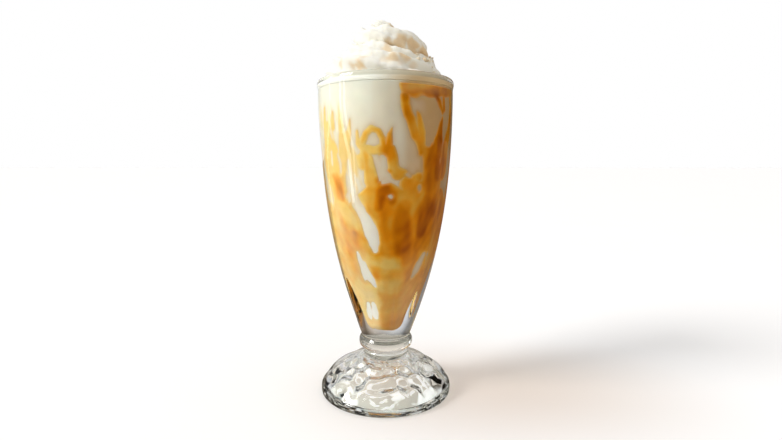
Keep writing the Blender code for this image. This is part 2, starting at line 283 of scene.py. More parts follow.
# Floor in metres: half its width, its front edge and how far it lies under the part
FLOOR_HALF = 40.0
FLOOR_FRONT = -0.13
FLOOR_DROP = 0.0001

# Colours of the sauce from golden to brown
SAUCE_RAMP = (
    (0.00, (0.97, 0.68, 0.18)),
    (0.25, (0.95, 0.50, 0.055)),
    (0.50, (0.90, 0.335, 0.006)),
    (0.75, (0.66, 0.19, 0.002)),
    (1.00, (0.40, 0.095, 0.001)),
)
MILK_COLOUR = (0.905, 0.89, 0.785)
# Painted light on the milkshake low on the left
PAINTED_LIGHT_COLOUR = (0.95, 0.965, 0.93)
# Colour of the sauce's thin coat on the milkshake, also its painted shade on the right side
FILM_AND_SHADE_COLOUR = (0.66, 0.42, 0.18)
GOLD_COLOUR = (0.93, 0.70, 0.25)
HAZE_COLOUR = (0.86, 0.73, 0.50)
CREAM_COLOUR = (0.925, 0.92, 0.845)
# Sauce smeared into the cream, also its painted shade on the right side
SMEAR_AND_SHADE_COLOUR = (0.80, 0.58, 0.31)
# Painted contact shadow where the cream meets the rim
GROOVE_SHADE_COLOUR = (0.50, 0.45, 0.33)
CRUMB_COLOURS = ((0.93, 0.86, 0.70), (0.62, 0.38, 0.14))
WHITE = (1.0, 1.0, 1.0)

# Tints of the glass: painted shade by how flat it is seen, standing in for dark refractions at its edges;
# by height in metres, faintly green at the base with painted shade on the knop; and by height for light
# shining through
GLASS_EDGE_SHADE = ((0.72, (0.95, 0.975, 0.965)), (0.96, (0.72, 0.75, 0.74)))
# Faint green at the base, then painted shade on the knop from 34.5 to 40.5 mm
GLASS_BASE_TINT_AND_KNOP_SHADE = (
    (0.004, (0.94, 0.985, 0.975)),
    (0.008, WHITE),
    (0.0325, WHITE),
    (0.0345, (0.38, 0.385, 0.36)),
    (0.0405, (0.38, 0.385, 0.36)),
    (0.0425, WHITE),
)
GLASS_SHADOW = (
    (0.005, (0.66, 0.66, 0.64)),
    (0.010, (0.30, 0.27, 0.24)),
    (0.038, (0.30, 0.27, 0.24)),
    (0.046, (0.90, 0.93, 0.92)),
)


def fade(value, low, high):
    """0 below low, 1 above high: t * t * (3 - 2 * t) between them."""
    share = np.clip((np.asarray(value, float) - low) / (high - low), 0.0, 1.0)
    return share * share * (3 - 2 * share)


def fall(value, low, high):
    """1 below low, 0 above high: 1 - fade between them."""
    return 1 - fade(value, low, high)


def round_angles(count):
    """count even angles of a full turn."""
    return np.arange(count) * 2 * math.pi / count


def bearing(x, y):
    """Angle from the front towards +X, in degrees."""
    return np.degrees(np.arctan2(x, -y))


def bowl_radius(height):
    """R - (R - neck) * (1 - s) ** curve, s running from 0 at the neck to 1 at the shoulder."""
    share = np.clip((np.asarray(height, float) - NECK_HEIGHT) / (BOWL_SHOULDER - NECK_HEIGHT), 0.0, 1.0)
    return BOWL_RADIUS - (BOWL_RADIUS - NECK_RADIUS) * (1 - share) ** BOWL_CURVE


def spline(points, steps):
    """Smooth line through points.

    Each stretch is the cubic whose end slopes are half the span of the neighbours, in the given steps.
    """
    line = np.asarray(points, float)
    before = np.vstack([2 * line[:1] - line[1:2], line[:-1]])
    after = np.vstack([line[1:], 2 * line[-1:] - line[-2:-1]])
    slope = (after - before) / 2
    t = np.linspace(0.0, 1.0, steps, endpoint=False)[None, :, None]
    start, end = line[:-1, None], line[1:, None]
    lead, tail = slope[:-1, None], slope[1:, None]
    curve = (
        (2 * t**3 - 3 * t**2 + 1) * start
        + (t**3 - 2 * t**2 + t) * lead
        + (3 * t**2 - 2 * t**3) * end
        + (t**3 - t**2) * tail
    )
    return np.vstack([curve.reshape(-1, line.shape[1]), line[-1:]])


def cavity_line():
    """The inner wall from the middle of its floor up to the rim, as a smooth line of radius and height."""
    walls = [(float(bowl_radius(height)) - wall, height) for height, wall in CAVITY_WALLS]
    line = spline([*CAVITY_FLOOR, *walls, RIM_INNER], 24)
    line[:, 0] = np.maximum.accumulate(np.maximum(line[:, 0], 0.0))
    line[:, 1] = np.maximum.accumulate(line[:, 1])
    return line


def even_rows(line, count):
    """count points spread evenly along a line."""
    run = np.concatenate([[0.0], np.cumsum(np.linalg.norm(np.diff(line, axis=0), axis=1))])
    where = np.linspace(0.0, run[-1], count)
    return np.stack([np.interp(where, run, line[:, column]) for column in range(line.shape[1])], axis=1)


def waves(seed, count, low, high, *axes):
    """Sum of count sines with seeded directions, waves from low to high long, scaled to about -1 to 1."""
    rng = np.random.default_rng(seed)
    total = np.zeros(np.broadcast(*axes).shape)
    for _ in range(count):
        way = rng.normal(size=len(axes))
        way *= 2 * math.pi / (rng.uniform(low, high) * np.linalg.norm(way))
        total += np.sin(sum(w * axis for w, axis in zip(way, axes)) + rng.uniform(0, 2 * math.pi))
    return total / math.sqrt(count)


def grid_mesh(rings, first_pole, last_pole):
    """Vertices and faces of a closed grid: rings (rows, columns, 3) joined in quads, a pole at each end."""
    rows, columns, _ = rings.shape
    points = np.vstack([rings.reshape(-1, 3), [first_pole], [last_pole]])
    around = np.arange(columns)
    after = (around + 1) % columns
    low = (np.arange(rows - 1) * columns)[:, None]
    quads = np.stack([low + around, low + after, low + columns + after, low + columns + around], axis=2)
    first = np.full(columns, rows * columns)
    top = (rows - 1) * columns
    caps = np.vstack([
        np.stack([first, after, around], axis=1),
        np.stack([first + 1, top + around, top + after], axis=1),
    ])
    return points, quads.reshape(-1, 4), caps


def new_piece(name, parts, node, material):
    """One object from closed grids, in millimetres, turned outwards, riding on the body."""
    points = np.vstack([part[0] for part in parts])
    offsets = np.cumsum([0] + [len(part[0]) for part in parts[:-1]])
    quads = np.vstack([part[1] + offset for part, offset in zip(parts, offsets)])
    caps = np.vstack([part[2] + offset for part, offset in zip(parts, offsets)])
    mesh = bpy.data.meshes.new(name)
    corners = np.concatenate([quads.ravel(), caps.ravel()])
    sizes = np.concatenate([np.full(len(quads), 4), np.full(len(caps), 3)])
    mesh.vertices.add(len(points))
    mesh.vertices.foreach_set("co", (points * MM).astype(np.float32).ravel())
    mesh.loops.add(len(corners))
    mesh.loops.foreach_set("vertex_index", corners.astype(np.int32))
    mesh.polygons.add(len(sizes))
    mesh.polygons.foreach_set("loop_start", np.concatenate([[0], np.cumsum(sizes)[:-1]]).astype(np.int32))
    mesh.update(calc_edges=True)
    mesh.validate()
    mesh.polygons.foreach_set("use_smooth", [True] * len(mesh.polygons))
    mesh.materials.append(material)
    piece = bpy.data.objects.new(name, mesh)
    bpy.context.scene.collection.objects.link(piece)
    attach(piece, BODY)
    if node:
        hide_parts(node)
    return piece


def paint(piece, name, colours):
    """Stores a colour for every vertex."""
    layer = piece.data.color_attributes.new(name, "FLOAT_COLOR", "POINT")
    rgba = np.ones((len(colours), 4), np.float32)
    rgba[:, :3] = colours
    layer.data.foreach_set("color", rgba.ravel())


def turned(radius, height, angle):
    """Points at a radius, height and angle from the front."""
    radius, height, angle = np.broadcast_arrays(radius, height, angle)
    return np.stack([radius * np.sin(angle), -radius * np.cos(angle), height], axis=-1)


# Materials


class Nodes:
    """Short way to build the shader nodes of a material or a world."""

    def __init__(self, owner):
        owner.use_nodes = True
        self.owner = owner
        self.tree = owner.node_tree

    def fill(self, node, inputs):
        """Sets a node's inputs, by name or number, to plain values or to the outputs of other nodes."""
        for key, value in inputs.items():
            target = node.inputs[key]
            if isinstance(value, bpy.types.NodeSocket):
                self.tree.links.new(value, target)
            elif target.type == "RGBA":
                target.default_value = (*value, 1.0)
            else:
                target.default_value = value

    def add(self, kind, inputs, **settings):
        """A new node."""
        node = self.tree.nodes.new(kind)
        for key, value in settings.items():
            setattr(node, key, value)
        self.fill(node, inputs)
        return node

    def place(self, kind):
        """Coordinates of a kind."""
        return self.add("ShaderNodeTexCoord", {}).outputs[kind]

    def noise(self, inputs):
        """Noise over the object."""
        return self.add("ShaderNodeTexNoise", {"Vector": self.place("Object"), **inputs}).outputs["Fac"]

    def bump(self, height, strength, distance):
        """Surface direction bent by a height."""
        inputs = {"Height": height, "Strength": strength, "Distance": distance}
        return self.add("ShaderNodeBump", inputs).outputs["Normal"]

    def span(self, value, inputs, smooth=False):
        """A value taken from one span to another."""
        kind = "SMOOTHSTEP" if smooth else "LINEAR"
        node = self.add("ShaderNodeMapRange", {"Value": value, **inputs}, interpolation_type=kind)
        return node.outputs["Result"]

    def mix(self, share, first, second, kind="MIX"):
        """Two colours mixed by a share."""
        inputs = {"Factor": share, "A": first, "B": second}
        return self.add("ShaderNodeMix", inputs, data_type="RGBA", blend_type=kind).outputs["Result"]

    def blend(self, value, low, high, first, second):
        """The first colour up to low, the second from high on, smoothly mixed between them."""
        return self.mix(self.span(value, {"From Min": low, "From Max": high}, smooth=True), first, second)

    def tinted(self, first, second):
        """Two colours multiplied."""
        return self.mix(1.0, first, second, "MULTIPLY")

    def product(self, first, second):
        """Two numbers multiplied."""
        return self.add("ShaderNodeMath", {0: first, 1: second}, operation="MULTIPLY").outputs["Value"]

    def ramp(self, value, steps):
        """Colour ramp of steps of position and colour."""
        node = self.add("ShaderNodeValToRGB", {"Fac": value})
        elements = node.color_ramp.elements
        elements[0].position = steps[0][0]
        elements[0].color = (*steps[0][1], 1.0)
        elements[1].position = steps[-1][0]
        elements[1].color = (*steps[-1][1], 1.0)
        for position, colour in steps[1:-1]:
            elements.new(position).color = (*colour, 1.0)
        return node.outputs["Color"]

    def mirrored(self, path):
        """1 for rays that come from a mirroring surface, else 0."""
        return self.product(path.outputs["Is Glossy Ray"], path.outputs["Is Reflection Ray"])


def glass_material():
    """Clear pressed glass, with painted shade where it is seen flat and on the knop, standing in for dark
    refractions, and faintly green at its base.

    Lamps shine through it and are dimmed, most of all in the foot and the knop.
    """
    n = Nodes(bpy.data.materials.new("clear_pressed_glass"))
    shader = n.tree.nodes["Principled BSDF"]
    height = n.add("ShaderNodeSeparateXYZ", {"Vector": n.place("Object")}).outputs["Z"]
    flat = n.add("ShaderNodeLayerWeight", {"Blend": 0.5}).outputs["Facing"]
    wave = n.noise({"Scale": 55.0, "Detail": 2.0, "Roughness": 0.4})
    n.fill(shader, {
        # Painted shade: the base colour darkens where the glass is seen edge-on and on the knop
        "Base Color": n.tinted(n.ramp(flat, GLASS_EDGE_SHADE), n.ramp(height, GLASS_BASE_TINT_AND_KNOP_SHADE)),
        "Roughness": 0.015,
        "IOR": 1.5,
        "Transmission Weight": 1.0,
        "Normal": n.bump(wave, 0.10, 0.0006),
    })
    clear = n.add("ShaderNodeBsdfTransparent", {"Color": n.ramp(height, GLASS_SHADOW)})
    path = n.add("ShaderNodeLightPath", {})
    inputs = {"Fac": path.outputs["Is Shadow Ray"], 1: shader.outputs["BSDF"], 2: clear.outputs["BSDF"]}
    both = n.add("ShaderNodeMixShader", inputs)
    n.fill(n.tree.nodes["Material Output"], {"Surface": both.outputs["Shader"]})
    return n.owner


def food_material(name, layer, roughness, scatter, radius, grain, bumpiness, wash, gloss):
    """Food with its own painted colour, mottled by noise, light scattering inside and a fine grain."""
    n = Nodes(bpy.data.materials.new(name))
    colour = n.add("ShaderNodeVertexColor", {}, layer_name=layer).outputs["Color"]
    mottle = n.noise({"Scale": 140.0, "Detail": 4.0, "Roughness": 0.55})
    fine = n.noise({"Scale": grain, "Detail": 3.0, "Roughness": 0.6})
    shade = n.span(mottle, {"From Min": 0.3, "From Max": 0.7, "To Min": 1.0 - wash, "To Max": 1.0})
    n.fill(n.tree.nodes["Principled BSDF"], {
        "Base Color": n.tinted(colour, shade),
        "Roughness": n.span(fine, {"To Min": roughness - 0.06, "To Max": roughness + 0.08}),
        "Normal": n.bump(fine, bumpiness, 0.0008),
        "Subsurface Weight": scatter,
        "Subsurface Radius": radius,
        "Subsurface Scale": 0.002,
        "Specular IOR Level": gloss,
    })
    return n.owner


def floor_material():
    """Pale matt sweep with a painted warm shadow to the right of the foot and painted caustics glowing
    under the foot.

    The glass and the drink see it as a warmer table, and a mirroring surface as a dark one.
    """
    n = Nodes(bpy.data.materials.new("pale_sweep"))
    place = n.place("Object")
    mottle = n.noise({"Scale": 6.0, "Detail": 3.0})
    sweep = n.ramp(mottle, ((0.0, (0.965, 0.965, 0.97)), (1.0, (0.985, 0.985, 0.99))))
    # Painted shadow: a warm darker oval to the right of the foot, where the glass casts its shade
    inputs = {0: place, 1: (0.6, 1.0, 1.0), 2: (-0.050, 0.004, 0.0)}
    shadow_oval = n.add("ShaderNodeVectorMath", inputs, operation="MULTIPLY_ADD").outputs["Vector"]
    away = n.add("ShaderNodeVectorMath", {0: shadow_oval}, operation="LENGTH").outputs["Value"]
    seen = n.tinted(sweep, n.blend(away, 0.0, 0.105, (0.80, 0.725, 0.66), WHITE))
    # Painted caustics: the floor glows in spots under the foot, standing in for light focused by the glass
    caustic_noise = n.noise({"Scale": 75.0, "Detail": 1.5, "Distortion": 2.0})
    lit = n.span(caustic_noise, {"From Min": 0.48, "From Max": 0.60, "To Max": 0.66})
    foot = n.add("ShaderNodeVectorMath", {0: place}, operation="LENGTH").outputs["Value"]
    within = n.span(foot, {"From Min": 0.028, "From Max": 0.040, "To Min": 1.0, "To Max": 0.0}, smooth=True)
    path = n.add("ShaderNodeLightPath", {})
    table = n.mix(n.mirrored(path), (0.86, 0.80, 0.74), (0.15, 0.12, 0.085))
    n.fill(n.tree.nodes["Principled BSDF"], {
        "Base Color": n.mix(path.outputs["Is Camera Ray"], table, seen),
        "Emission Color": (0.90, 0.93, 1.0),
        "Emission Strength": n.product(lit, within),
        "Roughness": 0.8,
        "Specular IOR Level": 0.1,
    })
    return n.owner


# Sauce pattern


def stroke_distance(strokes, angle, height, radius):
    """Distance in millimetres outside the nearest stroke, negative inside.

    Each stretch of a stroke is a capsule whose half width runs evenly from end to end.
    """
    nearest = np.full(angle.shape, 99.0)
    for points in strokes:
        for (a0, h0, w0), (a1, h1, w1) in zip(points[:-1], points[1:]):
            across = ((angle - a0 + 180.0) % 360.0 - 180.0) * np.pi / 180 * radius
            up = height - h0
            span = (a1 - a0) * np.pi / 180 * radius
            rise = h1 - h0
            share = np.clip((across * span + up * rise) / np.maximum(span**2 + rise**2, 1e-6), 0.0, 1.0)
            away = np.hypot(across - share * span, up - share * rise) - (w0 + share * (w1 - w0))
            nearest = np.minimum(nearest, away)
    return nearest


def turned_back(strokes, seed):
    """The strokes again on the far side, mirrored, each shifted and stretched a little by a seeded draw."""
    rng = np.random.default_rng(seed)
    result = []
    for points in strokes:
        turn, lift, width = rng.uniform(-9, 9), rng.uniform(-6, 5), rng.uniform(0.8, 1.2)
        result.append([(180 - a * 1.05 + turn, h + lift, w * width) for a, h, w in points])
    return result


def sauce_fields(angle, height, radius, settings):
    """Depth inside the sauce in millimetres and the shade of the sauce, over the wall.

    The depth is negative where milkshake meets the wall. The strokes' edges wander by sums of sines.
    """
    x = radius * np.sin(np.radians(angle))
    y = radius * np.cos(np.radians(angle))
    wobble = settings.wobble / MM
    bend = wobble * waves(3, 9, 6, 22, x, y, height * 0.55)
    bent = angle + np.degrees(bend / np.maximum(radius, 8.0))
    raised = height + wobble * waves(4, 9, 5, 18, x, y, height)
    sauce = [points for _, points in SAUCE_STROKES]
    milk = [points for _, points in MILK_STROKES]
    shade = [(dark, points) for _, dark, points in SHADE_STROKES]
    flames = [[(a, 118, w), (a + 2, (118 + h) / 2, w * 0.75), (a - 1, h, 0.4)] for a, h, w in SIDE_FLAMES]
    outside = stroke_distance([*sauce, *turned_back(sauce, 11), *flames], bent, raised, radius)
    turn = np.radians(angle)
    level = 131.0 + 6.0 * np.sin(2 * turn + 1.0) + 4.0 * np.sin(5 * turn + 2.2)
    outside = np.minimum(outside, raised - level)
    gap = stroke_distance([*milk, *turned_back(milk, 12)], bent, raised, radius)
    depth = np.minimum(-outside, gap)
    # Narrow gaps that run down the left side
    left = fade(-angle, 24, 34) * fade(height, 136, 150) * fall(height, 178, 186)
    depth -= 3.4 * left * fade(waves(22, 14, 3, 8, x, y, height * 0.3), 0.35, 1.2)
    tone = settings.tone - 0.04 + 0.22 * np.sin(turn - 0.35)
    tone += 0.10 * waves(5, 10, 8, 30, x, y, height * 0.6)
    tone += 0.07 * waves(6, 14, 2, 6, x, y, height * 0.25)
    for number, (dark, points) in enumerate(shade):
        away = stroke_distance([points, *turned_back([points], 20 + number)], bent, raised, radius)
        tone += dark * fall(away, -0.6, 3)
    tone -= 0.16 * fall(depth, 0.2, 2.2)
    return depth, np.clip(tone, 0.0, 1.0)


def ramp_colour(ramp, share):
    """Colour of a ramp of (position, colour) at a share."""
    place = [step[0] for step in ramp]
    return np.stack([np.interp(share, place, [step[1][k] for step in ramp]) for k in range(3)], axis=-1)


def blend_colour(first, second, share):
    """first * (1 - share) + second * share."""
    return np.asarray(first) * (1 - share[..., None]) + np.asarray(second) * share[..., None]


# Settings


def length_value(name, description, default):
    """A setting in metres."""
    return bpy.props.FloatProperty(
        name=name, description=description, default=default, unit="LENGTH", subtype="DISTANCE"
    )


def angle_value(name, description, degrees):
    """A setting that is an angle, given in degrees."""
    return bpy.props.FloatProperty(
        name=name, description=description, default=math.radians(degrees), unit="ROTATION", subtype="ANGLE"
    )


def plain_value(name, description, default):
    """A setting that is a plain number."""
    return bpy.props.FloatProperty(name=name, description=description, default=default, min=0.0)


def count_value(name, description, default, least):
    """A setting that counts."""
    return bpy.props.IntProperty(name=name, description=description, default=default, min=least)


def colour_value(name, description, default):
    """A setting that is a colour."""
    return bpy.props.FloatVectorProperty(
        name=name, description=description, default=default, min=0.0, max=1.0, subtype="COLOR"
    )


class GlassSettings(bpy.types.PropertyGroup):
    """The pressed glass."""

    columns: count_value("Columns", "Points round the glass", 290, 40)
    flute: length_value("Flute Depth", "Depth of the bowl's panels", 0.0013)
    petal: length_value("Petal Depth", "Depth of the foot's grooves", 0.0022)


class DrinkSettings(bpy.types.PropertyGroup):
    """The milkshake and the sauce on the wall."""

    columns: count_value("Columns", "Points round the drink", 330, 40)
    rows: count_value("Rows", "Points up the wall", 240, 40)
    into_wall: length_value("Into Wall", "How far the drink reaches into the glass", 0.0001)
    relief: length_value("Relief", "How far the sauce lies over the milkshake", 0.00025)
    coat: length_value("Coat", "Thickness of the sauce", 0.0018)
    wobble: length_value("Wobble", "How unevenly the sauce's edges run", 0.0006)
    tone: plain_value("Tone", "Shade of the sauce, 0 golden to 1 brown", 0.42)
    milk: colour_value("Milkshake", "Colour of the milkshake away from the sauce", MILK_COLOUR)
    haze: colour_value("Haze", "Colour of the sauce where it lies thin", HAZE_COLOUR)


class CreamSettings(bpy.types.PropertyGroup):
    """The whipped cream and the crumbs on it."""

    around: count_value("Around", "Points round the piped rope", 60, 12)
    along: count_value("Along", "Points along the piped rope", 1100, 100)
    flutes: count_value("Flutes", "Ridges of the piped rope", 6, 3)
    flute_depth: plain_value("Flute Depth", "Share of the rope's radius", 0.11)
    twist: plain_value("Twist", "Turns of the ridges for each turn of the coil", 5.0)
    crumbs: count_value("Crumbs", "Peanut crumbs on the cream", 20, 1)
    plain: colour_value("Cream", "Colour of the clean cream", CREAM_COLOUR)
    # The smeared-sauce colour also paints shade on the cream's right side
    smear_and_shade: colour_value("Smear", "Colour of the sauce smeared into the cream", SMEAR_AND_SHADE_COLOUR)


class StageSettings(bpy.types.PropertyGroup):
    """Camera, lights and floor."""

    camera_x: length_value("Camera X", "Sideways place", 0.0035)
    camera_distance: length_value("Distance", "Distance in front of the glass", 0.3085)
    camera_height: length_value("Height", "Height over the floor", 0.1477)
    pitch: angle_value("Pitch", "How far the camera looks down", 6.47)
    lens: plain_value("Lens", "Focal length in millimetres", 21.994)
    sun: plain_value("Sun", "Strength of the key light", 1.95)
    window: plain_value("Window", "Power of the tall window in watts", 0.16)
    sun_height: angle_value("Sun Height", "Elevation of the key light", 32.0)
    sun_turn: angle_value("Sun Turn", "How far in front of the left side the key stands", 18.0)
    sun_size: angle_value("Sun Size", "Angle across the key light", 20.0)


# Pieces and stage


def glass_rows():
    """The glass's section, from the middle of the hollow over the foot and the rim to the bowl's floor.

    Returns rows of radius, height, flute weight and petal weight, and how many of them are the hollow's.
    """
    share = np.linspace(0.03, 1.0, 26)
    hollow = np.stack([HOLLOW_RADIUS * share, HOLLOW_DEPTH * (1 - share**HOLLOW_CURVE)], axis=1)
    base = [(HOLLOW_RADIUS + 0.3, 0.0), (37.0, 0.0), (FOOT_RADIUS - 1.5, 0.0)]
    edge = spline(EDGE_PROFILE, 6)
    height = np.concatenate([[5.3], np.linspace(6.0, 22.2, 34)])
    dome = np.stack([FOOT_RADIUS * np.sqrt(1 - (height / FOOT_DOME_HEIGHT) ** 2), height], axis=1)
    neck = spline(NECK_PROFILE, 4)
    height = np.concatenate([np.linspace(38.6, 60.0, 18), np.linspace(62.0, 191.0, 58)])
    bowl = np.stack([bowl_radius(height), height], axis=1)
    rim = spline(RIM_PROFILE, 4)
    inner = cavity_line()[::-1]
    inner = even_rows(inner[(inner[:, 1] < 196.9) & (inner[:, 0] > 0.6)], 80)
    rows = np.vstack([hollow, base, edge, dome, neck, bowl, rim, inner])
    marks = np.zeros((len(rows), 2))
    first = len(hollow) + len(base) + len(edge)
    marks[first : first + len(dome), 1] = 1.0
    start = first + len(dome) + len(neck)
    marks[start : start + len(bowl), 0] = 1.0
    return np.hstack([rows, marks]), len(hollow)


class MILKSHAKE_OT_glass(bpy.types.Operator):
    """Build the footed soda glass"""

    bl_idname = "milkshake.glass"
    bl_label = "Soda Glass"

    def execute(self, context):
        settings = context.scene.milkshake_glass
        rows, hollow = glass_rows()
        radius, height, bowl, foot = (rows[:, k][:, None] for k in range(4))
        turn = round_angles(settings.columns)
        phase = PANELS * (turn - math.radians(PANEL_TURN)) / 2
        ridge = np.sqrt(np.sin(phase) ** 2 + 0.004)
        flute = settings.flute / MM * fade(height, NECK_HEIGHT, 60) * fall(height, 150, 186)
        flute *= bowl
        petal = settings.petal / MM * fade(height, 5, 11) * fall(height, 17.5, 22) * foot
        wide = radius - flute * ridge - petal * (1 - ridge)
        inside = (np.arange(len(rows)) < hollow)[:, None] * fall(radius, 30, 34)
        stipple = fade(radius, 24, 27) * np.cos(64 * turn) * np.cos(radius * 1.9)
        x, y = radius * np.sin(turn), radius * np.cos(turn)
        shift = 0.8 * np.sin(PANELS * turn / 2) + 0.7 * np.sin(3 * turn + 1.0)
        ripple = fade(radius, 3, 9) * np.cos(radius * 0.9 + shift)
        tall = height + inside * (0.16 * stipple + 0.6 * ripple + 0.6 * waves(51, 9, 6, 13, x, y))
        rings = turned(wide, tall, turn[None])
        glass = grid_mesh(rings, (0, 0, HOLLOW_DEPTH), (0, 0, CAVITY_FLOOR[0][1]))
        new_piece("soda_glass", [glass], "glass", glass_material())
        return {"FINISHED"}


def wall_grid(settings):
    """Angles in degrees, heights, radii and outward directions of a grid on the inner wall."""
    line = cavity_line()
    line = even_rows(line[line[:, 1] <= DRINK_LEVEL + DRINK_OVERLAP], settings.rows + 1)[1:]
    slope = np.gradient(line, axis=0)
    slope /= np.linalg.norm(slope, axis=1)[:, None]
    angle = np.arange(settings.columns) * 360.0 / settings.columns
    radius = np.repeat(line[:, :1], settings.columns, axis=1)
    height = np.repeat(line[:, 1:], settings.columns, axis=1)
    out = np.stack([slope[:, 1], -slope[:, 0]], axis=1)
    return np.broadcast_to(angle, radius.shape), height, radius, out


def from_wall(radius, height, turn, out, shift):
    """Points of the wall's grid shifted outwards, in millimetres."""
    return turned(radius + shift * out[:, :1], height + shift * out[:, 1:], turn)


class MILKSHAKE_OT_drink(bpy.types.Operator):
    """Build the milkshake and the sauce that streaks it along the wall"""

    bl_idname = "milkshake.drink"
    bl_label = "Milkshake and Sauce"

    def execute(self, context):
        settings = context.scene.milkshake_drink
        angle, height, radius, out = wall_grid(settings)
        depth, tone = sauce_fields(angle, height, radius, settings)
        turn = np.radians(angle)
        reach = settings.into_wall / MM
        self.build_milkshake(settings, turn, height, radius, out, depth, reach)
        self.build_sauce(settings, turn, height, radius, out, depth, tone, reach)
        return {"FINISHED"}

    def build_milkshake(self, settings, turn, height, radius, out, depth, reach):
        """The drink up to its level, tinted by the sauce next to it, with painted shade on the right and
        painted light low on the left.
        """
        side = from_wall(radius, height, turn, out, reach)
        inner = np.linspace(0.97, 0.05, 12)[:, None]
        top = turned(inner * radius[-1], DRINK_LEVEL + DRINK_OVERLAP + 0 * turn[:1], turn[:1])
        rings = np.concatenate([side, top])
        x, y, z = np.moveaxis(rings, -1, 0)
        degrees = bearing(x, y)
        # Thin coat of sauce, in waves and next to the sauce, and painted shade in the same colour on the
        # right, the side turned from the key light
        near = np.exp(np.minimum(depth, 0.0) / 1.3) * 0.40
        film_and_shade = 0.06 * (1 + waves(8, 8, 9, 30, x, y, z * 0.4)) + 0.05 * fade(degrees, -11, -9)
        right = 0.50 * fade(degrees, 11, 22) + 0.24 * fade(degrees, 22, 42)
        film_and_shade += right * fade(-degrees, -170, -120) * (0.4 + 0.6 * fade(z, 92, 120))
        film_and_shade[: len(near)] += near
        colours = blend_colour(settings.milk, FILM_AND_SHADE_COLOUR, np.clip(film_and_shade, 0.0, 0.9))
        # Painted light: milkshake brightened low on the left, the side that faces the light
        pale = 0.7 * fall(z, 112, 130) * fade(-degrees, -4, 8)
        colours = blend_colour(colours, PAINTED_LIGHT_COLOUR, pale)
        # Golden streaks high on the left and behind
        streak = fade(waves(9, 18, 1.8, 8, x, y, z * 0.2), -0.4, 0.7)
        crest = z + 5 * waves(10, 6, 4, 12, x, y)
        crest += 16 * fade(degrees, -42, -24) * fall(degrees, 60, 100)
        zone = fade(z, 118, 140) * fall(crest, 166, 186)
        zone *= np.clip(fade(-degrees, 4, 30) + fade(degrees, 110, 150), 0, 1)
        colours = blend_colour(colours, GOLD_COLOUR, 0.85 * streak * zone).reshape(-1, 3)
        bottom = (0, 0, CAVITY_FLOOR[0][1] - reach)
        part = grid_mesh(rings, bottom, (0, 0, DRINK_LEVEL + DRINK_OVERLAP))
        material = food_material(
            "milkshake_cream_white", "milk", roughness=0.45, scatter=0.35, radius=(1.0, 0.75, 0.5),
            grain=900.0, bumpiness=0.05, wash=0.05, gloss=0.0,
        )
        piece = new_piece("milkshake_body", [part], "milkshake", material)
        paint(piece, "milk", np.vstack([colours, colours[:1], colours[-1:]]))

    def build_sauce(self, settings, turn, height, radius, out, depth, tone, reach):
        """A shell on the wall that dips under the milkshake's surface wherever no sauce shows."""
        proud = reach + settings.relief / MM * np.clip(depth / 0.8, -1.6, 1.0)
        last = int(np.searchsorted(height[:, 0], SAUCE_TOP))
        outer = from_wall(radius, height, turn, out, proud)[:last]
        back = np.linspace(last - 1, 6, 14).astype(int)
        inner = from_wall(radius, height, turn, out, -settings.coat / MM)[back]
        rings = np.concatenate([outer, inner])
        x, y, z = np.moveaxis(rings, -1, 0)
        degrees = bearing(x, y)
        # Haze all over the left side and low down
        haze = 0.21 * fade(-degrees, 6, 45) + 0.20 * fall(z, 58, 96)
        # Low on the right, low on the left and above the arch
        haze += 0.16 * fade(degrees, 12, 40) * fall(z, 80, 104)
        haze += 0.11 * fade(-degrees, 16, 36) * fall(z, 118, 132)
        haze += 0.16 * fade(z, 185, 191) * fade(degrees, 8, 16)
        # In waves on the left, and near the sauce's edges
        haze += 0.08 * waves(14, 9, 4, 14, x, y, z * 0.5) * fade(-degrees, 4, 34)
        haze += 0.24 * fall(np.concatenate([depth[:last], depth[back]]), 0.1, 1.3)
        shades = ramp_colour(SAUCE_RAMP, np.concatenate([tone[:last], tone[back]]))
        colours = blend_colour(shades, settings.haze, np.clip(haze, 0.0, 0.6)).reshape(-1, 3)
        floor = CAVITY_FLOOR[0][1]
        lowest = (0, 0, floor - reach - settings.relief / MM)
        highest = (0, 0, floor + settings.coat / MM)
        part = grid_mesh(rings, lowest, highest)
        material = food_material(
            "peanut_butter_sauce_amber", "sauce", roughness=0.32, scatter=0.10, radius=(1.0, 0.45, 0.12),
            grain=500.0, bumpiness=0.06, wash=0.12, gloss=0.0,
        )
        piece = new_piece("sauce_streaks", [part], "peanut_butter_sauce", material)
        paint(piece, "sauce", np.vstack([colours, colours[:1], colours[-1:]]))


